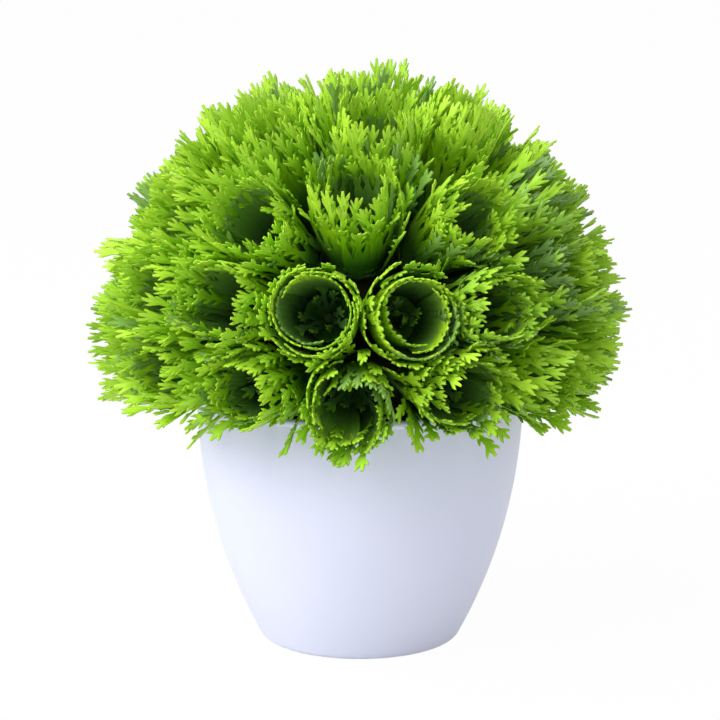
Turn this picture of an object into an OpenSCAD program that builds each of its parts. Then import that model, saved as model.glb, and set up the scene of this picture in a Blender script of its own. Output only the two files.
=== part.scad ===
// Artificial potted bush: a white moulded pot, weighted and filled with foam, holds a short
// trunk that carries a round core. Leaf sprigs snap into the core's sockets all round it.
// Each sprig is a stepped stem with three cupped whorls of lobed sprays pushed onto it.
// Origin: centre of the pot's underside. +Z up, -Y is the front.

/* [Pot] */
// Height of the pot, underside to rim
pot_height = 72; // [64:1:90]
// Outside radius of the rim
rim_radius = 46.4; // [43:0.2:54]
// Outside radius where the wall would meet the underside
base_radius = 28; // [24:0.5:34]
// How far the wall bows out from a straight taper
wall_bow = 4.7; // [2:0.1:8]
// Thickness of the moulded wall
pot_wall = 1.6; // [1.2:0.1:3]
// Radius of the bead along the rim
rim_bead = 1.2; // [1:0.05:2]
// Thickness of the floor above the foot recess
floor_thickness = 2.2; // [1.5:0.1:4]
// Rounding where the wall turns under into the foot
foot_round = 3; // [1.5:0.25:5]
// Width of the flat foot ring
foot_width = 4; // [2:0.25:8]
// Depth of the recess inside the foot ring
foot_recess = 1.2; // [0.5:0.1:2]

/* [Filling] */
// Depth of the plaster poured into the bottom
ballast_depth = 12; // [6:0.5:18]
// Foam left between the trunk's hole and the plaster
foam_under = 4; // [2:0.5:6]
// Gap between the filling and the pot wall
fill_gap = 0.3; // [0.1:0.05:0.6]

/* [Trunk] */
// Radius of the trunk in the foam
trunk_radius = 5; // [4.5:0.25:8]
// Length of the trunk's point
trunk_point = 5; // [3:0.5:8]
// Room under the trunk's point
point_gap = 1; // [0.5:0.1:2]
// Radius of the flange that rests on the foam
flange_radius = 10; // [9:0.5:14]
// Thickness of the flange
flange_thickness = 2; // [1.5:0.25:4]
// Radius of the spigot that the core turns on
spigot_radius = 3.5; // [2.5:0.25:4]
// Length of the spigot
spigot_length = 14; // [10:0.5:18]
// Radial clearance of a shaft that turns or slides
running_gap = 0.05; // [0.02:0.01:0.08]

/* [Core] */
// Outside radius of the round core
core_radius = 36; // [33:0.5:38]
// Wall of the two core shells
core_wall = 2.4; // [1.8:0.1:3]
// Height of the lip that joins the two shells
lip_height = 3; // [2:0.25:4]
// Thickness of that lip
lip_thickness = 1.6; // [1:0.1:2]
// How far the trunk's socket stands out below the core
boss_foot = 1; // [0.5:0.1:3]
// Wall round the trunk's socket
boss_wall = 2.5; // [2:0.25:4]
// Gap between pieces that are pushed together
push_gap = 0.1; // [0.05:0.01:0.15]
// Room between the lowest leaves and the rim
rim_gap = 1.8; // [1:0.1:6]

/* [Sprigs] */
// Distance from the core's centre to the leaf tips
foliage_radius = 74; // [68:0.5:80]
// Radius of the stem's shaft
stem_radius = 1.9; // [1.8:0.05:2.4]
// How much smaller each whorl's seat is than the one below
seat_step = 0.3; // [0.2:0.05:0.4]
// Distance along the stem from one whorl's seat to the next
seat_pitch = 2.2; // [1.6:0.1:3]
// Bare shaft between the collar and the first whorl
shaft_length = 1.7; // [1:0.1:4]
// Radius of the stem's collar
collar_radius = 2.8; // [2.6:0.1:3.6]
// Thickness of the collar
collar_thickness = 1.2; // [0.8:0.1:2]
// How far the barb and the head stand out round the stem
barb_width = 0.4; // [0.3:0.05:0.6]
// Length of the barb inside the core
barb_length = 2.4; // [1.5:0.1:3]

/* [Whorls] */
// Thickness of the leaves
leaf_thickness = 0.6; // [0.4:0.05:0.9]
// Thickness of the hub that sits on the stem
hub_thickness = 0.9; // [0.6:0.1:1.4]
// Sprays moulded round one whorl
sprays = 4; // [3:1:6]
// Fingers on each side of a spray's middle finger
side_fingers = 2; // [1:1:3]
// Depth of the notches between fingers, as a share of the spray
finger_depth = 0.14; // [0.06:0.01:0.25]
// How much lower the outermost fingers end, as a share of the spray
spray_crown = 0.12; // [0:0.01:0.25]
// Height from the hub to where the sprays part
spray_root = 4; // [3:0.25:6]
// Room left between neighbouring sprigs at the leaf tips
sprig_gap = 1.6; // [1:0.1:4]
// Radius of the outer whorl's base
whorl_base = 6.2; // [5:0.1:6.4]
// How much smaller each nested whorl is at its base
nest_base = 1.1; // [1:0.05:1.3]
// How much smaller each nested whorl is at its mouth
nest_mouth = 1.5; // [1.2:0.1:2]
// How much further each nested whorl reaches
nest_reach = 1.5; // [0:0.1:2]

/* [Hidden] */
$fn = 64;
eps = 0.01;

// Rings of sockets from the crown down: name, angle from the top, sprigs, azimuth of the first
RINGS = [
    ["crown", 0, 1, 0],
    ["upper", 29, 7, -41],
    ["shoulder", 52, 12, 0],
    ["belt", 75, 16, 11.25],
    ["skirt", 97, 14, -2],
];
WHORLS = ["outer", "middle", "inner"];

// Sprigs keep inside cones that just clear each other all round the core
ring_spacing = [
    for (ring = RINGS)
        if (ring[2] > 1)
            acos(pow(cos(ring[1]), 2) + pow(sin(ring[1]), 2) * cos(360 / ring[2]))
];
row_spacing = [for (i = [1:len(RINGS) - 1]) RINGS[i][1] - RINGS[i - 1][1]];
sprig_angle = min(concat(ring_spacing, row_spacing)) / 2;

// Whorls by number, 0 the outer one: distances are measured from the core's centre
collar_seat = core_radius + push_gap;
barb_seat = core_radius - core_wall - 2 * push_gap;
socket_shaft = stem_radius - seat_step;
function whorl_seat(k) = collar_seat + collar_thickness + shaft_length + k * seat_pitch;
function whorl_tip(k) = foliage_radius - (len(WHORLS) - 1 - k) * nest_reach;
function whorl_foot(k) = whorl_base - k * nest_base;
function whorl_mouth(k) = whorl_tip(0) * tan(sprig_angle) - sprig_gap / 2 - k * nest_mouth;
function whorl_slope(k) = (whorl_mouth(k) - whorl_foot(k)) / (whorl_tip(k) - whorl_seat(k));
function whorl_radius(k, distance) = whorl_foot(k) + whorl_slope(k) * (distance - whorl_seat(k));
function seat_radius(k) = stem_radius - (k + 1) * seat_step;

// The core stands so high that the lowest sprigs clear the rim's bead
skirt_angle = RINGS[len(RINGS) - 1][1];
rim_reach = rim_radius + rim_bead;
rim_distance = (rim_reach - whorl_radius(0, 0) * cos(skirt_angle))
    / (sin(skirt_angle) + whorl_slope(0) * cos(skirt_angle));
core_rise = rim_gap - rim_distance * cos(skirt_angle)
    + whorl_radius(0, rim_distance) * sin(skirt_angle);

// Heights
core_z = pot_height + core_rise;
flange_top = core_z - core_radius - boss_foot;
foam_top = flange_top - flange_thickness;
floor_z = foot_recess + floor_thickness;
ballast_top = floor_z + ballast_depth;
trunk_hole = ballast_top + foam_under;

// The pot's wall is one arc through the foot and the rim
wall_chord = [rim_radius - base_radius, pot_height];
wall_chord_length = norm(wall_chord);
wall_arc = (pow(wall_chord_length / 2, 2) + pow(wall_bow, 2)) / (2 * wall_bow);
wall_centre = [base_radius, 0] + wall_chord / 2
    - (wall_arc - wall_bow) * [wall_chord[1], -wall_chord[0]] / wall_chord_length;
function wall_radius(inset, z) =
    wall_centre[0] + sqrt(pow(wall_arc - inset, 2) - pow(z - wall_centre[1], 2));

// Centre and end of the rounding that meets both the wall's arc and the underside
foot_centre = [
    wall_centre[0] + sqrt(pow(wall_arc - foot_round, 2) - pow(foot_round - wall_centre[1], 2)),
    foot_round
];
foot_turn = atan2(foot_centre[1] - wall_centre[1], foot_centre[0] - wall_centre[0]);
foot_touch = foot_centre + foot_round * [cos(foot_turn), sin(foot_turn)];
foot_steps = 6;

// Everything inside the wall's arc, drawn in by an inset, between two heights
module wall_section(inset, low, high) {
    intersection() {
        translate(wall_centre) circle(wall_arc - inset, $fn = 360);
        translate([0, low]) square([rim_radius + wall_bow, high - low]);
    }
}

module foot_section() {
    polygon(concat(
        [[0, foot_touch[1]], [0, 0]],
        [for (i = [0:foot_steps])
            let (turn = -90 + (foot_turn + 90) * i / foot_steps)
                foot_centre + foot_round * [cos(turn), sin(turn)]]
    ));
}

module pot() {
    bead_z = pot_height - rim_bead;
    color("white") rotate_extrude($fn = 128) {
        difference() {
            union() {
                wall_section(0, foot_touch[1], bead_z);
                foot_section();
            }
            wall_section(pot_wall, floor_z, pot_height);
            square([foot_centre[0] - foot_width, foot_recess]);
        }
        translate([wall_radius(pot_wall / 2, bead_z), bead_z]) circle(rim_bead, $fn = 32);
    }
}

module ballast() {
    color("gainsboro") rotate_extrude($fn = 128) {
        wall_section(pot_wall + fill_gap, floor_z, ballast_top);
    }
}

module foam_plug() {
    color("darkolivegreen") rotate_extrude($fn = 128) {
        difference() {
            wall_section(pot_wall + fill_gap, ballast_top, foam_top);
            translate([0, trunk_hole]) square([trunk_radius + running_gap, foam_top - trunk_hole]);
        }
    }
}

module trunk() {
    point_z = trunk_hole + point_gap;
    spigot_top = flange_top + spigot_length;
    tip_radius = trunk_radius / 3;
    spigot_chamfer = spigot_radius / 5;
    color("saddlebrown") rotate_extrude() {
        polygon([
            [0, point_z],
            [tip_radius, point_z],
            [trunk_radius, point_z + trunk_point],
            [trunk_radius, foam_top],
            [flange_radius, foam_top],
            [flange_radius, flange_top],
            [spigot_radius, flange_top],
            [spigot_radius, spigot_top - spigot_chamfer],
            [spigot_radius - spigot_chamfer, spigot_top],
            [0, spigot_top],
        ]);
    }
}

// Moves what follows from the core's centre and +Z to one sprig's direction
module at_sprig(ring, i) {
    translate([0, 0, core_z])
        rotate([0, 0, ring[3] + i * 360 / ring[2]])
            rotate([ring[1], 0, 0]) children();
}

// The shaft's hole through the core's wall, and room inside it for the barb
module socket() {
    room_low = barb_seat - barb_length - push_gap;
    room_high = barb_seat + push_gap;
    translate([0, 0, core_radius - 2 * core_wall])
        cylinder(h = 3 * core_wall, r = socket_shaft + running_gap, $fn = 24);
    translate([0, 0, room_low])
        cylinder(h = room_high - room_low, r = socket_shaft + barb_width + push_gap, $fn = 24);
}

module sockets(lowest, highest) {
    for (ring = RINGS)
        if (ring[1] >= lowest && ring[1] < highest)
            for (i = [0:ring[2] - 1]) at_sprig(ring, i) socket();
}

// Half of the core's wall, seen in section with its centre at the core's centre
module shell_section(low) {
    intersection() {
        difference() {
            circle(core_radius, $fn = 180);
            circle(core_radius - core_wall, $fn = 180);
        }
        translate([0, low]) square([core_radius + 1, core_radius + 1]);
    }
}

module core_upper() {
    color("darkgreen") difference() {
        translate([0, 0, core_z]) rotate_extrude($fn = 96) shell_section(0);
        sockets(0, 90);
    }
}

module core_lower() {
    bore = spigot_radius + running_gap;
    boss_radius = bore + boss_wall;
    boss_low = -core_radius - boss_foot;
    lip_radius = sqrt(pow(core_radius - core_wall, 2) - pow(lip_height, 2)) - push_gap;
    lip_root = core_radius - core_wall / 2;
    color("darkgreen") difference() {
        translate([0, 0, core_z]) rotate_extrude($fn = 96) {
            shell_section(-core_radius - 1);
            polygon([
                [lip_radius - lip_thickness, -lip_height],
                [lip_root, -lip_height],
                [lip_root, 0],
                [lip_radius, 0],
                [lip_radius, lip_height],
                [lip_radius - lip_thickness, lip_height],
            ]);
            translate([0, boss_low]) square([boss_radius, spigot_length]);
        }
        translate([0, 0, core_z + boss_low - 1]) cylinder(h = spigot_length + 2, r = bore);
        sockets(90, 180);
    }
}

// Stem in section: barb inside the core, collar on it, three seats of falling size, a head
module stem() {
    collar_top = collar_seat + collar_thickness;
    last_seat = whorl_seat(len(WHORLS) - 1);
    head_seat = last_seat + hub_thickness + push_gap;
    head_radius = seat_radius(len(WHORLS) - 1) + barb_width;
    rotate_extrude($fn = 24) polygon(concat(
        [
            [0, barb_seat - barb_length],
            [socket_shaft - barb_width, barb_seat - barb_length],
            [socket_shaft + barb_width, barb_seat - barb_width],
            [socket_shaft + barb_width, barb_seat],
            [socket_shaft, barb_seat],
            [socket_shaft, collar_seat],
            [collar_radius, collar_seat],
            [collar_radius, collar_top],
            [stem_radius, collar_top],
            [stem_radius, whorl_seat(0)],
        ],
        [for (k = [0:len(WHORLS) - 1], end = [0, 1])
            let (top = k < len(WHORLS) - 1 ? whorl_seat(k + 1) : head_seat)
                [seat_radius(k), end == 0 ? whorl_seat(k) : top]],
        [
            [head_radius, head_seat],
            [head_radius, head_seat + barb_width],
            [head_radius / 2, head_seat + 2 * barb_width],
            [0, head_seat + 2 * barb_width],
        ]
    ));
}

// Right edge of one spray, seen flat: a low lobe on the outer whorl, then fingers side by side
spray_width = 0.94;
sector_width = 1.02;
root_width = 0.62;
low_lobe = [[0.96, 0.5], [0.68, 0.46]];
function sector_half(k, distance) = whorl_radius(k, distance) * sin(180 / sprays);
function spray_point(k, across, part) =
    let (distance = whorl_seat(k) + spray_root
        + part * (whorl_tip(k) - whorl_seat(k) - spray_root))
        [across * (sector_half(k, distance) - leaf_thickness), distance];
function finger_across(j) = spray_width * (1 - j / side_fingers);
function finger_top(across) = 1 - spray_crown * pow(across, 2);
function spray_edge(k) = concat(
    [spray_point(k, root_width, 0)],
    [for (corner = low_lobe) if (k == 0) spray_point(k, corner[0], corner[1])],
    [for (j = [0:side_fingers - 1], notch = [0, 1])
        let (across = finger_across(j + notch / 2))
            spray_point(k, across, finger_top(across) - notch * finger_depth)]
);

// What is cut away round one spray within its share of the cup
module spray_gap(k) {
    edge = spray_edge(k);
    last = len(edge) - 1;
    low = edge[0][1];
    high = whorl_tip(k) + 1;
    low_half = sector_width * sector_half(k, low);
    high_half = sector_width * sector_half(k, high);
    rotate([90, 0, 90]) linear_extrude(height = whorl_mouth(k) + 2) polygon(concat(
        edge,
        [[0, whorl_tip(k)]],
        [for (i = [last:-1:0]) [-edge[i][0], edge[i][1]]],
        [[-low_half, low], [-high_half, high], [high_half, high], [low_half, low]]
    ));
}

// One moulded whorl: a flared cup on a hub, cut into lobed sprays
module whorl(k) {
    seat = whorl_seat(k);
    tip = whorl_tip(k);
    floor_top = seat + hub_thickness;
    hole = seat_radius(k) + push_gap;
    difference() {
        rotate_extrude() polygon([
            [hole, seat],
            [whorl_foot(k), seat],
            [whorl_mouth(k), tip],
            [whorl_mouth(k) - leaf_thickness, tip],
            [whorl_radius(k, floor_top) - leaf_thickness, floor_top],
            [hole, floor_top],
        ]);
        for (i = [0:sprays - 1]) rotate(i * 360 / sprays) spray_gap(k);
    }
}

module stems(ring) {
    color("olivedrab") for (i = [0:ring[2] - 1]) at_sprig(ring, i) stem();
}

module whorls(k, ring) {
    color("yellowgreen") for (i = [0:ring[2] - 1])
        at_sprig(ring, i) rotate(k * 120 / sprays) whorl(k);
}

pot();
ballast();
foam_plug();
trunk();
core_lower();
core_upper();
for (ring = RINGS) {
    stems(ring);
    for (k = [0:len(WHORLS) - 1]) {
        whorls(k, ring);
    }
}
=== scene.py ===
import math
import random

import bmesh
import bpy
from mathutils import Matrix, Vector


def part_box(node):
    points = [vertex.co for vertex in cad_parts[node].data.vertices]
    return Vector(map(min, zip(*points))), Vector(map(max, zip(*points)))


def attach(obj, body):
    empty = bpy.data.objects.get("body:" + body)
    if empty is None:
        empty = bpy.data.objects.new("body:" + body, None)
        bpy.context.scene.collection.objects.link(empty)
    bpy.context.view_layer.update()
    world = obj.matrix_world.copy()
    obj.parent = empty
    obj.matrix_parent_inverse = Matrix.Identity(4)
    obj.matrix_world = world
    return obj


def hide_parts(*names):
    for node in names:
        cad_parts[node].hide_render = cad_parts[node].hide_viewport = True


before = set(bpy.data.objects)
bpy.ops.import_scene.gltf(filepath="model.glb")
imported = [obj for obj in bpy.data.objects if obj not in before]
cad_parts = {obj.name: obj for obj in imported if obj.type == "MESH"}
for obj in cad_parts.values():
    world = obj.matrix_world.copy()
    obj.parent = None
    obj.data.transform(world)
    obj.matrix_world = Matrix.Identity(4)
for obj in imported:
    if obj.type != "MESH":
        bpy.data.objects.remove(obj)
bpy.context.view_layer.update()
MM = 0.001

# Studio: a white sheet as floor, a white surround that is brighter overhead, one large soft lamp at
# the upper left of the camera and a weak one at its right. The camera looks slightly down.
FLOOR_SPAN = 16.0
FLOOR_WHITE = (0.66, 0.66, 0.67, 1)
FLOOR_GLOW = 0.975
BACKDROP = (1, 1, 1, 1)
SURROUND_SIDE, SURROUND_TOP = 0.42, 0.92
SURROUND_COLOUR = (0.95, 0.97, 1.0, 1)
AIM = Vector((0, 0, 0.08))
KEY_PLACE, KEY_SPAN, KEY_WATTS = Vector((-0.95, -0.6, 1.15)), 1.4, 32.0
FILL_PLACE, FILL_SPAN, FILL_WATTS = Vector((0.9, -0.9, 0.5)), 0.9, 1.2
CAMERA_PLACE, CAMERA_TILT = Vector((0, -0.700, 0.214)), 79.17
CAMERA_LENS, CAMERA_SENSOR = 125.35, 36.0


def add_node(tree, kind, **settings):
    node = tree.nodes.new(kind)
    for name, value in settings.items():
        setattr(node, name, value)
    return node


def spread(tree, share, low, high, low_at=0.0, high_at=1.0):
    """A number that runs from low to high as share rises from low_at to high_at."""
    span = add_node(tree, "ShaderNodeMapRange")
    span.inputs["From Min"].default_value = low_at
    span.inputs["From Max"].default_value = high_at
    span.inputs["To Min"].default_value = low
    span.inputs["To Max"].default_value = high
    tree.links.new(share, span.inputs["Value"])
    return span.outputs["Result"]


def seen_rays(tree):
    """1 for rays that show the surround: from the camera, in a mirror or through glass."""
    rays = add_node(tree, "ShaderNodeLightPath")
    share = rays.outputs["Is Camera Ray"]
    for kind in ("Is Glossy Ray", "Is Transmission Ray"):
        either = add_node(tree, "ShaderNodeMath", operation="MAXIMUM")
        tree.links.new(share, either.inputs[0])
        tree.links.new(rays.outputs[kind], either.inputs[1])
        share = either.outputs[0]
    return share


bpy.ops.object.select_all(action="DESELECT")
bpy.ops.mesh.primitive_plane_add(size=FLOOR_SPAN)
floor = bpy.context.object
floor.name = "floor"
sheet = bpy.data.materials.new("white_sheet")
sheet.use_nodes = True
tree = sheet.node_tree
tree.nodes.clear()
paper = add_node(tree, "ShaderNodeBsdfDiffuse")
paper.inputs["Color"].default_value = FLOOR_WHITE
glow = add_node(tree, "ShaderNodeEmission")
share = add_node(tree, "ShaderNodeMath", operation="MULTIPLY")
share.inputs[1].default_value = FLOOR_GLOW
both = add_node(tree, "ShaderNodeMixShader")
out = add_node(tree, "ShaderNodeOutputMaterial")
tree.links.new(seen_rays(tree), share.inputs[0])
tree.links.new(share.outputs[0], both.inputs[0])
tree.links.new(paper.outputs[0], both.inputs[1])
tree.links.new(glow.outputs[0], both.inputs[2])
tree.links.new(both.outputs[0], out.inputs["Surface"])
floor.data.materials.append(sheet)

world = bpy.data.worlds.new("surround")
bpy.context.scene.world = world
world.use_nodes = True
tree = world.node_tree
light = tree.nodes["Background"]
light.inputs["Color"].default_value = SURROUND_COLOUR
sky = add_node(tree, "ShaderNodeTexCoord")
height = add_node(tree, "ShaderNodeSeparateXYZ")
tree.links.new(sky.outputs["Generated"], height.inputs[0])
overhead = spread(tree, height.outputs["Z"], SURROUND_SIDE, SURROUND_TOP)
tree.links.new(overhead, light.inputs["Strength"])
white = add_node(tree, "ShaderNodeBackground")
white.inputs["Color"].default_value = BACKDROP
both = add_node(tree, "ShaderNodeMixShader")
tree.links.new(seen_rays(tree), both.inputs[0])
tree.links.new(light.outputs[0], both.inputs[1])
tree.links.new(white.outputs[0], both.inputs[2])
tree.links.new(both.outputs[0], tree.nodes["World Output"].inputs["Surface"])


def soft_lamp(name, place, span, watts):
    """A square lamp of a given side that faces the object."""
    bpy.ops.object.light_add(type="AREA", location=place)
    lamp = bpy.context.object
    lamp.name = name
    lamp.data.size = span
    lamp.data.energy = watts
    lamp.rotation_euler = (AIM - place).to_track_quat("-Z", "Y").to_euler()


soft_lamp("key_lamp", KEY_PLACE, KEY_SPAN, KEY_WATTS)
soft_lamp("fill_lamp", FILL_PLACE, FILL_SPAN, FILL_WATTS)

bpy.ops.object.camera_add(location=CAMERA_PLACE, rotation=(math.radians(CAMERA_TILT), 0, 0))
camera = bpy.context.object
camera.data.lens = CAMERA_LENS
camera.data.sensor_width = CAMERA_SENSOR
bpy.context.scene.camera = camera
bpy.context.scene.view_settings.view_transform = "Standard"

# Pot: one injection-moulded bowl of white plastic with a cool cast. Its satin skin has the faint
# waviness of the mould, and it stands on the flat ring under its rounded foot.
POT_WHITE = (0.735, 0.755, 0.90, 1)
POT_SHADE = (0.705, 0.725, 0.88, 1)
POT_CLOUDS, POT_SMEARS = 18, 60
POT_GLOSSIEST, POT_DULLEST = 0.36, 0.46
POT_GRAIN, POT_GRAIN_DETAIL, POT_GRAIN_DEPTH = 900, 3, 0.03 * MM


def new_finish(name):
    """A Principled material, with its node tree and its shader."""
    material = bpy.data.materials.new(name)
    material.use_nodes = True
    return material, material.node_tree, material.node_tree.nodes["Principled BSDF"]


def grain(tree, scale, detail=2.0):
    """Noise in the object's own coordinates, in steps of about one over scale metres."""
    place = add_node(tree, "ShaderNodeTexCoord")
    noise = add_node(tree, "ShaderNodeTexNoise")
    noise.inputs["Scale"].default_value = scale
    noise.inputs["Detail"].default_value = detail
    tree.links.new(place.outputs["Object"], noise.inputs["Vector"])
    return noise.outputs["Fac"]


def two_tone(tree, share, low, high, low_at=0.35, high_at=0.65):
    """A colour that runs from low to high as share rises."""
    ramp = add_node(tree, "ShaderNodeValToRGB")
    ramp.color_ramp.elements[0].position = low_at
    ramp.color_ramp.elements[0].color = low
    ramp.color_ramp.elements[1].position = high_at
    ramp.color_ramp.elements[1].color = high
    tree.links.new(share, ramp.inputs["Fac"])
    return ramp.outputs["Color"]


def rough_skin(tree, shader, height, depth):
    """Raises the surface by height times depth metres."""
    bump = add_node(tree, "ShaderNodeBump")
    bump.inputs["Distance"].default_value = depth
    tree.links.new(height, bump.inputs["Height"])
    tree.links.new(bump.outputs["Normal"], shader.inputs["Normal"])


def dress(node, material):
    """Puts a finish on a piece that keeps its shape from the frame."""
    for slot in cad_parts[node].material_slots:
        slot.material = material


satin, tree, shader = new_finish("satin_white")
clouds = two_tone(tree, grain(tree, POT_CLOUDS), POT_SHADE, POT_WHITE)
tree.links.new(clouds, shader.inputs["Base Color"])
smears = spread(tree, grain(tree, POT_SMEARS), POT_GLOSSIEST, POT_DULLEST)
tree.links.new(smears, shader.inputs["Roughness"])
rough_skin(tree, shader, grain(tree, POT_GRAIN, POT_GRAIN_DETAIL), POT_GRAIN_DEPTH)
dress("pot", satin)

# Ballast: grey cement poured into the bottom of the pot, where it sets and keeps the light pot
# standing. The foam covers it.
CEMENT_DARK, CEMENT_PALE = (0.30, 0.29, 0.27, 1), (0.52, 0.51, 0.48, 1)
CEMENT_ROUGH = 0.9
CEMENT_SPECKS, CEMENT_GRIT, CEMENT_DETAIL, CEMENT_DEPTH = 350, 700, 6, 0.4 * MM

cement, tree, shader = new_finish("poured_cement")
shader.inputs["Roughness"].default_value = CEMENT_ROUGH
specks = two_tone(tree, grain(tree, CEMENT_SPECKS, CEMENT_DETAIL), CEMENT_DARK, CEMENT_PALE)
tree.links.new(specks, shader.inputs["Base Color"])
rough_skin(tree, shader, grain(tree, CEMENT_GRIT, CEMENT_DETAIL), CEMENT_DEPTH)
dress("ballast", cement)

# Foam plug: open-celled floral foam, cut to the pot's inside and pressed in on the cement. The
# trunk is pushed into the hole in its middle.
FOAM_CELL, FOAM_WALL = (0.012, 0.022, 0.006, 1), (0.07, 0.11, 0.03, 1)
FOAM_ROUGH = 0.95
FOAM_CELLS, FOAM_DEPTH = 900, 0.8 * MM
CELL_FROM, CELL_TO = 0.1, 0.6

foam, tree, shader = new_finish("floral_foam")
shader.inputs["Roughness"].default_value = FOAM_ROUGH
cells = add_node(tree, "ShaderNodeTexVoronoi")
cells.inputs["Scale"].default_value = FOAM_CELLS
place = add_node(tree, "ShaderNodeTexCoord")
tree.links.new(place.outputs["Object"], cells.inputs["Vector"])
pores = two_tone(tree, cells.outputs["Distance"], FOAM_CELL, FOAM_WALL, CELL_FROM, CELL_TO)
tree.links.new(pores, shader.inputs["Base Color"])
rough_skin(tree, shader, cells.outputs["Distance"], FOAM_DEPTH)
dress("foam_plug", foam)

# Trunk: a short pointed pin of moulded brown plastic with a flange that rests on the foam. Fine
# upright grooves imitate bark.
BARK_DARK, BARK_PALE = (0.035, 0.018, 0.009, 1), (0.13, 0.075, 0.04, 1)
BARK_ROUGH = 0.6
BARK_STRETCH, BARK_DETAIL, BARK_DEPTH = (700, 700, 60), 4, 0.5 * MM

bark, tree, shader = new_finish("brown_plastic")
shader.inputs["Roughness"].default_value = BARK_ROUGH
place = add_node(tree, "ShaderNodeTexCoord")
grooves = add_node(tree, "ShaderNodeMapping")
grooves.inputs["Scale"].default_value = BARK_STRETCH
noise = add_node(tree, "ShaderNodeTexNoise")
noise.inputs["Scale"].default_value = 1
noise.inputs["Detail"].default_value = BARK_DETAIL
tree.links.new(place.outputs["Object"], grooves.inputs["Vector"])
tree.links.new(grooves.outputs["Vector"], noise.inputs["Vector"])
streaks = two_tone(tree, noise.outputs["Fac"], BARK_DARK, BARK_PALE)
tree.links.new(streaks, shader.inputs["Base Color"])
rough_skin(tree, shader, noise.outputs["Fac"], BARK_DEPTH)
dress("trunk", bark)

# Core: two half shells of dark green plastic, joined by a lip at the middle, with a socket for
# each sprig. They are moulded with a dull, slightly uneven skin.
CORE_DARK, CORE_PALE = (0.006, 0.012, 0.004, 1), (0.03, 0.035, 0.015, 1)
CORE_ROUGH, CORE_SHINE = 0.85, 0.15
CORE_BLOTCHES, CORE_BLOTCH_DETAIL = 220, 4
CORE_GRAIN, CORE_GRAIN_DETAIL, CORE_GRAIN_DEPTH = 600, 3, 0.15 * MM

dull_green, tree, shader = new_finish("dull_green_plastic")
shader.inputs["Roughness"].default_value = CORE_ROUGH
shader.inputs["Specular IOR Level"].default_value = CORE_SHINE
blotches = two_tone(tree, grain(tree, CORE_BLOTCHES, CORE_BLOTCH_DETAIL), CORE_DARK, CORE_PALE)
tree.links.new(blotches, shader.inputs["Base Color"])
rough_skin(tree, shader, grain(tree, CORE_GRAIN, CORE_GRAIN_DETAIL), CORE_GRAIN_DEPTH)
dress("core_lower", dull_green)
dress("core_upper", dull_green)

# Stems: moulded green plastic pins, one to a sprig. A barb snaps into the core and three stepped
# seats carry the leaf whorls. Each ring has its angle from the top in degrees, its number of
# sprigs and the first sprig's turn.
RINGS = {
    "crown": (0, 1, 0),
    "upper": (29, 7, -41),
    "shoulder": (52, 12, 0),
    "belt": (75, 16, 11.25),
    "skirt": (97, 14, -2),
}
STEM_DARK, STEM_PALE = (0.02, 0.05, 0.008, 1), (0.07, 0.15, 0.02, 1)
STEM_ROUGH, STEM_SHINE = 0.8, 0.15
STEM_SPOTS, STEM_SPOT_DETAIL = 400, 3
STEM_GRAIN, STEM_GRAIN_DETAIL, STEM_GRAIN_DEPTH = 1200, 2, 0.1 * MM

stem_green, tree, shader = new_finish("stem_green")
shader.inputs["Roughness"].default_value = STEM_ROUGH
shader.inputs["Specular IOR Level"].default_value = STEM_SHINE
spots = two_tone(tree, grain(tree, STEM_SPOTS, STEM_SPOT_DETAIL), STEM_DARK, STEM_PALE)
tree.links.new(spots, shader.inputs["Base Color"])
rough_skin(tree, shader, grain(tree, STEM_GRAIN, STEM_GRAIN_DETAIL), STEM_GRAIN_DEPTH)
for ring in RINGS:
    dress("stems_" + ring, stem_green)

# Leaf spray: a flat fan of soft green plastic, punched and moulded in one piece. A blade parts
# into fingers, and each finger carries blunt lobes along its sides and one at its end.
FINGER_PITCH = 2.8 * MM
FINGER_FAN = math.radians(8)
REACH_MIDDLE, REACH_FALL, REACH_POWER = 1.06, 0.05, 1.5
REACH_PLAY = (0.86, 1.1)
BLADE_ROW = 4.5 * MM
BLADE_FOOT = 0.42
STALK_NARROW = 0.48
LOBE_STEP, LOBE_NARROW = 2.1, 0.97
LOBE_OUT, LOBE_UP, LOBE_END = 1.15, 1.9, 0.5
LOBE_PLAY = (0.85, 1.2)
TIP_STEP, TIP_NARROW = 2.0, 0.62
NEAR = 1e-7


def choose_vertices(piece, test):
    """Selects the corners of a mesh in edit mode that pass a test of their place."""
    bpy.ops.mesh.select_all(action="DESELECT")
    mesh = bmesh.from_edit_mesh(piece.data)
    for corner in mesh.verts:
        corner.select_set(test(corner.co))
    mesh.select_flush(True)
    bmesh.update_edit_mesh(piece.data)


def choose_edge(piece, end_a, end_b):
    """Selects the one edge of a mesh in edit mode that runs between two places."""
    bpy.ops.mesh.select_all(action="DESELECT")
    mesh = bmesh.from_edit_mesh(piece.data)
    for edge in mesh.edges:
        a, b = edge.verts[0].co, edge.verts[1].co
        as_named = (a - end_a).length + (b - end_b).length
        swapped = (a - end_b).length + (b - end_a).length
        edge.select_set(min(as_named, swapped) < NEAR)
    mesh.select_flush_mode()
    bmesh.update_edit_mesh(piece.data)


def chosen_ends(piece):
    """The places of the selected corners, from left to right."""
    mesh = bmesh.from_edit_mesh(piece.data)
    return sorted((v.co.copy() for v in mesh.verts if v.select), key=lambda place: place.x)


def pull_edge(across, depth, along, narrow):
    """Extrudes the selected edge along the spray and shortens its new end."""
    bpy.ops.mesh.extrude_edges_move(TRANSFORM_OT_translate={"value": (across, depth, along)})
    bpy.ops.transform.resize(value=(narrow, 1, narrow))


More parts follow.
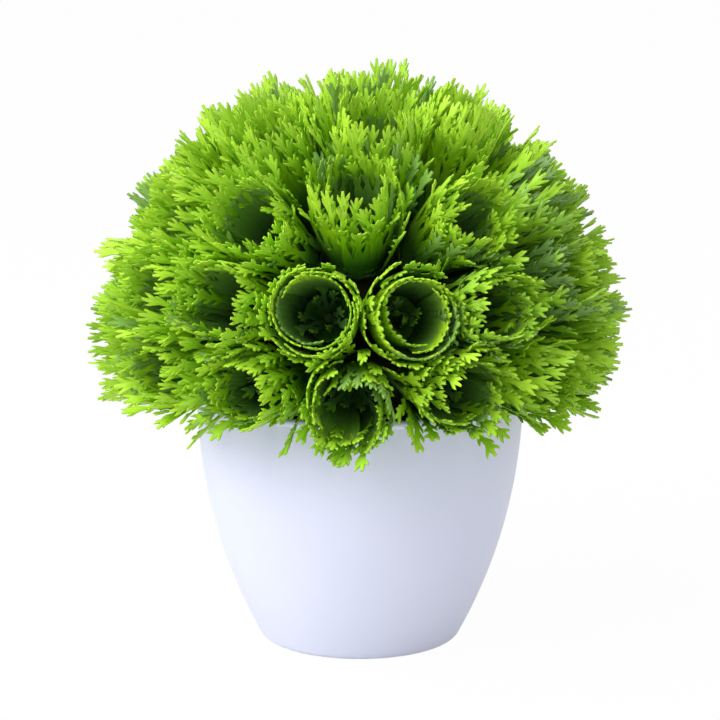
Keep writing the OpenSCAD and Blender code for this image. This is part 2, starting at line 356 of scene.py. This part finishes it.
def flat_spray(seed, fingers, rows, stalk, lobes, sway):
    """One spray, upright and facing -Y, with its foot at the origin. Its fingers sway in and out."""
    random.seed(seed)
    width, blade = fingers * FINGER_PITCH, rows * BLADE_ROW
    bpy.ops.object.select_all(action="DESELECT")
    bpy.ops.mesh.primitive_grid_add(x_subdivisions=fingers, y_subdivisions=rows, size=1,
                                    rotation=(math.radians(90), 0, 0))
    spray = bpy.context.object
    bpy.ops.object.transform_apply(rotation=True)
    bpy.ops.object.mode_set(mode="EDIT")
    bpy.ops.mesh.select_mode(type="EDGE")
    bpy.ops.mesh.select_all(action="SELECT")
    bpy.ops.transform.resize(value=(width, 1, blade), center_override=(0, 0, 0))
    bpy.ops.transform.translate(value=(0, 0, blade / 2))
    for row in range(rows):
        height = row * BLADE_ROW
        narrow = BLADE_FOOT + (1 - BLADE_FOOT) * math.sqrt(row / rows)
        choose_vertices(spray, lambda place: abs(place.z - height) < NEAR)
        bpy.ops.transform.resize(value=(narrow, 1, 1), center_override=(0, 0, height))
    steps = [(stalk, STALK_NARROW)] + [(LOBE_STEP, LOBE_NARROW)] * lobes + [(TIP_STEP, TIP_NARROW)]
    for i in range(fingers):
        off_middle = i - (fingers - 1) / 2
        lean = off_middle * FINGER_FAN
        reach = REACH_MIDDLE - REACH_FALL * abs(off_middle) ** REACH_POWER
        reach = reach * random.uniform(*REACH_PLAY) * MM
        curl = random.gauss(0, sway)
        left = Vector((-width / 2 + i * FINGER_PITCH, 0, blade))
        choose_edge(spray, left, left + Vector((FINGER_PITCH, 0, 0)))
        sides = []
        for level, (step, narrow) in enumerate(steps):
            pull_edge(step * reach * math.sin(lean), step * reach * curl * (level + 1) / 2,
                      step * reach * math.cos(lean), narrow)
            sides.append(chosen_ends(spray))
        for level in range(lobes):
            lobed = (0, 1) if level == lobes - 1 else ((i + level) % 2,)
            for side in lobed:
                choose_edge(spray, sides[level][side], sides[level + 1][side])
                size = random.uniform(*LOBE_PLAY) * MM
                out, up = (2 * side - 1) * LOBE_OUT, LOBE_UP
                pull_edge(size * (out * math.cos(lean) + up * math.sin(lean)), up * size * curl,
                          size * (up * math.cos(lean) - out * math.sin(lean)), LOBE_END)
    bpy.ops.mesh.select_all(action="SELECT")
    bpy.ops.mesh.normals_make_consistent(inside=False)
    bpy.ops.object.mode_set(mode="OBJECT")
    flat = spray.data.uv_layers.active or spray.data.uv_layers.new()
    flat.name = "flat_spray"
    for corner in spray.data.loops:
        place = spray.data.vertices[corner.vertex_index].co
        flat.data[corner.index].uv = (place.x / FINGER_PITCH, place.z / FINGER_PITCH)
    return spray


# Leaf whorls: each sprig carries three cups of overlapping sprays, one inside the other, and a
# small tuft in the innermost. The sprays are bent warm to the cup's round and welded to a hub that
# sits on the stem. The two cups at the front are rolled more tightly than the rest.
LEAF_THICKNESS = 0.48 * MM
SPRAY_ROOT = 2.5 * MM
TIP_REACH = 1.5 * MM
SMOOTH_BELOW = math.radians(100)
NORMAL_WEIGHT = 75
HUB_SIDES, HUB_EYE = 12, 0.3
HUB_STEPS = ((2.9, 0.3 * MM), (1.25, 2.6 * MM))

# A style's mouth, foot and reach are shares of its whorl, its angles are degrees, and its inner
# faces (both faces, in the tuft) get painted shade below the share hollow of its length.
TUFT = dict(sprays=3, fingers=3, rows=1, stalk=2.5, lobes=3, arc=80, mouth=0.6, foot=0.3,
            reach=0.36, flares=(-10, 5, 15), sway=0.15, splay=(0, 8), twist=20, hollow=0.9,
            spiral=8, uneven=0.13)
LOOSE = {
    "outer": [
        dict(sprays=6, fingers=4, rows=2, stalk=4.0, lobes=5, arc=84, mouth=1.0, foot=0.54,
             reach=1.0, flares=(-16, 0, 16), sway=0.1, splay=(2, 6), twist=14, hollow=0.5,
             spiral=8, uneven=0.13),
    ],
    "middle": [
        dict(sprays=5, fingers=4, rows=2, stalk=3.0, lobes=5, arc=96, mouth=1.0, foot=0.6,
             reach=1.0, flares=(-26, -20, -12), sway=0.05, splay=(1, 3), twist=8, hollow=0.6,
             spiral=8, uneven=0.13),
    ],
    "inner": [
        dict(sprays=4, fingers=5, rows=3, stalk=2.0, lobes=4, arc=112, mouth=1.0, foot=0.64,
             reach=1.0, flares=(-24, -20, -14), sway=0.03, splay=(0, 2), twist=5, hollow=0.7,
             spiral=8, uneven=0.13),
        TUFT,
    ],
}
ROLLED = {
    "outer": [
        dict(sprays=6, fingers=5, rows=4, stalk=1.5, lobes=3, arc=96, mouth=0.94, foot=0.6,
             reach=1.0, flares=(-22, -17, -12), sway=0.06, splay=(0, 1.5), twist=4, hollow=0.8,
             spiral=5, uneven=0.07),
    ],
    "middle": [
        dict(sprays=3, fingers=7, rows=5, stalk=0.3, lobes=1, arc=156, mouth=0.96, foot=0.64,
             reach=0.95, flares=(-22, -20, -18), sway=0.04, splay=(0, 1), twist=3, hollow=0.8,
             spiral=2, uneven=0.04),
    ],
    "inner": [
        dict(sprays=3, fingers=7, rows=5, stalk=0.3, lobes=1, arc=150, mouth=0.97, foot=0.68,
             reach=0.86, flares=(-19, -17, -15), sway=0.04, splay=(0, 1), twist=3, hollow=0.8,
             spiral=2, uneven=0.04),
        TUFT,
    ],
}

# The listed sprigs lean down and to the right by these degrees, the rest by chance.
# The skirt's lower sprays are shorter, to clear the rim, but not on the sprig that hangs over it.
FACING = {("belt", 15): (1, 2), ("belt", 0): (4, 3)}
BENT = {
    ("upper", 2): (-4, 6),
    ("shoulder", 0): (-16, -2), ("shoulder", 1): (9, 4), ("shoulder", 2): (3, 18),
    ("shoulder", 11): (9, -3),
    ("belt", 1): (2, -1), ("belt", 2): (-3, 14),
    ("skirt", 0): (0, 0), ("skirt", 1): (-6, 0), ("skirt", 2): (-5, 0), ("skirt", 3): (-5, 1),
    ("skirt", 4): (-7, 2), ("skirt", 5): (-8, -2), ("skirt", 6): (-7, 1), ("skirt", 7): (-8, -1),
    ("skirt", 8): (-7, 2), ("skirt", 9): (-6, -1), ("skirt", 11): (-6, 0), ("skirt", 12): (-8, 0),
    ("skirt", 13): (-7, 0),
}
HANGING = ("skirt", 0)
HANG_SHORTER = 0.2
SPRIG_PLAY, TURN_PLAY = 5.0, 9.0
CUP_TURN = 30
LEAN_SEED, PLACE_SEED = 11, 29
SPRAY_SEED, SPRAY_SEED_STEP = 3, 10
# The value that marks painted shade on the inner faces in the cups' hollows.
HOLLOW_PAINTED_SHADE = -2.0
DARK_SPRAYS, DARK_TINT = 0.1, -1.3
# Sprigs at the right, where the light is weaker, and how much painted shade their sprays get.
SHADED_SPRIGS = {("shoulder", 2): 0.7, ("belt", 2): 0.8, ("belt", 1): 0.4}

CORE = Vector((0, 0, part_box("core_upper")[0].z))


def whorl_sizes(whorl):
    """How far from the core's centre a whorl sits, its mouth's radius and its sprays' length."""
    low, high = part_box(whorl + "_whorls_crown")
    return low.z - CORE.z, (high.x - low.x) / 2, high.z - low.z - SPRAY_ROOT + TIP_REACH


def apply_modifier(piece, kind, **settings):
    modifier = piece.modifiers.new(kind.lower(), kind)
    for name, value in settings.items():
        setattr(modifier, name, value)
    bpy.ops.object.select_all(action="DESELECT")
    piece.select_set(True)
    bpy.context.view_layer.objects.active = piece
    bpy.ops.object.modifier_apply(modifier=modifier.name)


def bend(piece, axis, angle):
    """Bends a piece round one of its axes by an angle from end to end."""
    apply_modifier(piece, "SIMPLE_DEFORM", deform_method="BEND", deform_axis=axis, angle=angle)


def cupped_spray(style, seed, mouth, length, flare):
    """One spray bent to its cup's mouth, upright, with its foot at the origin and the cup behind it."""
    spray = flat_spray(seed, style["fingers"], style["rows"], style["stalk"], style["lobes"],
                       style["sway"])
    arc = math.radians(style["arc"])
    size = spray.dimensions
    bpy.ops.object.select_all(action="DESELECT")
    spray.select_set(True)
    spray.scale = (mouth * arc / size.x, 1, length / size.z)
    bpy.ops.object.transform_apply(scale=True)
    apply_modifier(spray, "SOLIDIFY", thickness=LEAF_THICKNESS, offset=0)
    bend(spray, "Z", arc)
    bend(spray, "X", -math.radians(flare))
    bpy.ops.object.shade_smooth_by_angle(angle=SMOOTH_BELOW)
    apply_modifier(spray, "WEIGHTED_NORMAL", weight=NORMAL_WEIGHT, keep_sharp=False)
    # The inner faces low in the cup, and all of the tuft, get painted shade: the dark of the cups'
    # hollows.
    shade = spray.data.attributes.new("tone_and_painted_shade", "FLOAT", "POINT")
    for corner in spray.data.vertices:
        to_axis = Vector((0, mouth, corner.co.z)) - corner.co
        gets_painted_shade = style is TUFT or corner.normal.dot(to_axis) > 0
        if gets_painted_shade and corner.co.z < style["hollow"] * length:
            shade.data[corner.index].value = HOLLOW_PAINTED_SHADE
    return spray


def hub_dish(foot):
    """The dish that sits on the stem and carries the sprays of one whorl."""
    bpy.ops.object.select_all(action="DESELECT")
    bpy.ops.mesh.primitive_circle_add(vertices=HUB_SIDES, radius=HUB_EYE * foot)
    hub = bpy.context.object
    bpy.ops.object.mode_set(mode="EDIT")
    bpy.ops.mesh.select_mode(type="EDGE")
    bpy.ops.mesh.select_all(action="SELECT")
    for wide, rise in HUB_STEPS:
        bpy.ops.mesh.extrude_edges_move(TRANSFORM_OT_translate={"value": (0, 0, rise)})
        bpy.ops.transform.resize(value=(wide, wide, 1))
    bpy.ops.mesh.select_all(action="SELECT")
    bpy.ops.mesh.normals_make_consistent(inside=False)
    bpy.ops.object.mode_set(mode="OBJECT")
    apply_modifier(hub, "SOLIDIFY", thickness=LEAF_THICKNESS, offset=0)
    bpy.ops.object.shade_smooth_by_angle(angle=SMOOTH_BELOW)
    hub.data.attributes.new("tone_and_painted_shade", "FLOAT", "POINT")
    return hub


def turn(axis, degrees):
    return Matrix.Rotation(math.radians(degrees), 4, axis)


def spray_shade(sprig):
    """A shade drawn for one spray. A few sprays are dark, and those of some sprigs at the right get
    painted shade.
    """
    shade = random.random()
    if shade < DARK_SPRAYS:
        shade = DARK_TINT
    return shade - SHADED_SPRIGS.get(sprig, 0)


def copied(template, place, tone_and_painted_shade):
    """A copy of a template with its own mesh, at its place, in its own shade."""
    piece = template.copy()
    piece.data = template.data.copy()
    piece.data.transform(place)
    for shade in piece.data.attributes["tone_and_painted_shade"].data:
        shade.value += tone_and_painted_shade
    bpy.context.collection.objects.link(piece)
    return piece


# The leaves' finish: waxy yellow-green plastic, rougher towards the core, with painted shade that
# darkens it deep in the whorls and a painted highlight that lightens the outer tips. Each spray's tone
# runs from the painted shade of the hollows up to 1 at its brightest, and fine ribs run along its
# fingers.
LEAF_SHADED_DEEP, LEAF_MID = (0.055, 0.20, 0.02, 1), (0.25, 0.55, 0.006, 1)
LEAF_LIT_TIP = (0.345, 0.66, 0.038, 1)
DEEP_AT, MID_AT, TIP_AT = 50 * MM, 61 * MM, 71 * MM
DARK_HUE, BRIGHT_HUE = 0.515, 0.485
DARK_VALUE, BRIGHT_VALUE = 0.44, 1.14
DARK_SATURATION, BRIGHT_SATURATION, SATURATED_AT = 0.8, 1.0, 0.2
LEAF_DULLEST, LEAF_GLOSSIEST, GLOSS_AT = 0.95, 0.33, 0.6
LEAF_SHINE = 0.2
RIB_SCALE, RIB_WANDER, RIB_DEPTH = 0.6, 2, 0.1 * MM
SOFT_SHARE, SOFT_COLOURS, SOFT_DEPTH = 0.15, (0.6, 1.0, 0.1), 1.5 * MM

leaf_green, tree, shader = new_finish("leaf_green")
place = add_node(tree, "ShaderNodeTexCoord")
from_core = add_node(tree, "ShaderNodeVectorMath", operation="DISTANCE")
from_core.inputs[1].default_value = CORE
tree.links.new(place.outputs["Object"], from_core.inputs[0])
outward = spread(tree, from_core.outputs["Value"], 0, 1, DEEP_AT, TIP_AT)
# The ramp from the core outward is painted light and shade: darker deep in the whorls, where the cups
# lie in shade, and paler at the outer tips as a painted highlight.
ramp = add_node(tree, "ShaderNodeValToRGB")
ramp.color_ramp.elements[0].color = LEAF_SHADED_DEEP
ramp.color_ramp.elements[1].color = LEAF_LIT_TIP
middle = ramp.color_ramp.elements.new((MID_AT - DEEP_AT) / (TIP_AT - DEEP_AT))
middle.color = LEAF_MID
tree.links.new(outward, ramp.inputs["Fac"])
# Each spray's tone holds its own random tone and the painted shade of the hollows and of the sprigs at
# the right.
tone_and_painted_shade = add_node(tree, "ShaderNodeAttribute", attribute_name="tone_and_painted_shade").outputs["Fac"]
shade = add_node(tree, "ShaderNodeHueSaturation")
tree.links.new(ramp.outputs["Color"], shade.inputs["Color"])
hue = spread(tree, tone_and_painted_shade, DARK_HUE, BRIGHT_HUE, HOLLOW_PAINTED_SHADE)
tree.links.new(hue, shade.inputs["Hue"])
value = spread(tree, tone_and_painted_shade, DARK_VALUE, BRIGHT_VALUE, HOLLOW_PAINTED_SHADE)
tree.links.new(value, shade.inputs["Value"])
saturation = spread(tree, tone_and_painted_shade, DARK_SATURATION, BRIGHT_SATURATION, HOLLOW_PAINTED_SHADE, SATURATED_AT)
tree.links.new(saturation, shade.inputs["Saturation"])
tree.links.new(shade.outputs["Color"], shader.inputs["Base Color"])
gloss = spread(tree, outward, LEAF_DULLEST, LEAF_GLOSSIEST, 0, GLOSS_AT)
tree.links.new(gloss, shader.inputs["Roughness"])
ribs = add_node(tree, "ShaderNodeTexWave", bands_direction="X")
ribs.inputs["Scale"].default_value = RIB_SCALE
ribs.inputs["Distortion"].default_value = RIB_WANDER
flat = add_node(tree, "ShaderNodeUVMap", uv_map="flat_spray")
tree.links.new(flat.outputs["UV"], ribs.inputs["Vector"])
rough_skin(tree, shader, ribs.outputs["Fac"], RIB_DEPTH)
shader.inputs["Specular IOR Level"].default_value = LEAF_SHINE
shader.inputs["Subsurface Weight"].default_value = SOFT_SHARE
shader.inputs["Subsurface Radius"].default_value = SOFT_COLOURS
shader.inputs["Subsurface Scale"].default_value = SOFT_DEPTH

# The sprigs: each whorl's sprays are made once in every flare, for loose and for rolled cups, and
# copied round their hubs with some play. One piece of leaves holds the cups of one whorl and ring.
random.seed(LEAN_SEED)
sprig_lean = {
    (ring, i): turn("X", random.gauss(0, SPRIG_PLAY)) @ turn("Y", random.gauss(0, SPRIG_PLAY))
    for ring, (polar, count, first) in RINGS.items() for i in range(count)
}
for sprig, (down, right) in (FACING | BENT).items():
    sprig_lean[sprig] = turn("X", down) @ turn("Y", right)

for order, whorl in enumerate(LOOSE):
    seat, full_mouth, full_length = whorl_sizes(whorl)
    kinds = {}
    for rolled, styles in ((False, LOOSE[whorl]), (True, ROLLED[whorl])):
        kinds[rolled] = []
        for style in styles:
            mouth, length = full_mouth * style["mouth"], full_length * style["reach"]
            foot = mouth * style["foot"]
            upright = math.degrees((mouth - foot) / length)
            templates = []
            for kind, flare in enumerate(style["flares"]):
                seed = SPRAY_SEED + SPRAY_SEED_STEP * kind + order
                spray = cupped_spray(style, seed, mouth, length, flare)
                templates.append((spray, upright - flare / 2))
            kinds[rolled].append((style, foot, templates))
    hub = hub_dish(full_mouth * LOOSE[whorl][0]["foot"])
    random.seed(PLACE_SEED + order)
    for ring, (polar, count, first) in RINGS.items():
        pieces = []
        for i in range(count):
            sprig = (ring, i)
            sprig_place = (Matrix.Translation(CORE) @ turn("Z", first + i * 360 / count)
                           @ turn("X", polar) @ Matrix.Translation((0, 0, seat))
                           @ sprig_lean[sprig])
            pieces.append(copied(hub, sprig_place, spray_shade(sprig)))
            for style, foot, templates in kinds[sprig in FACING]:
                for j in range(style["sprays"]):
                    round_cup = (CUP_TURN * order + j * 360 / style["sprays"]
                                 + random.uniform(-TURN_PLAY, TURN_PLAY))
                    stretch = 1 + random.uniform(-style["uneven"], style["uneven"])
                    if ring == "skirt" and sprig != HANGING:
                        stretch -= HANG_SHORTER * max(0, math.cos(math.radians(round_cup)))
                    template, tilt = random.choice(templates)
                    splay = random.gauss(*style["splay"])
                    twist = random.uniform(-style["twist"], style["twist"])
                    place = (sprig_place @ turn("Z", round_cup)
                             @ Matrix.Translation((0, -foot, SPRAY_ROOT))
                             @ turn("X", tilt + splay) @ turn("Z", style["spiral"] + twist)
                             @ Matrix.Diagonal((1, 1, stretch, 1)))
                    pieces.append(copied(template, place, spray_shade(sprig)))
        bpy.ops.object.select_all(action="DESELECT")
        for piece in pieces:
            piece.select_set(True)
        bpy.context.view_layer.objects.active = pieces[0]
        bpy.ops.object.join()
        leaves = bpy.context.object
        leaves.name = whorl + "_leaves_" + ring
        leaves.data.materials.clear()
        leaves.data.materials.append(leaf_green)
        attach(leaves, "bush")
        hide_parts(whorl + "_whorls_" + ring)
    bpy.data.objects.remove(hub)
    for layers in kinds.values():
        for style, foot, templates in layers:
            for template, tilt in templates:
                bpy.data.objects.remove(template)
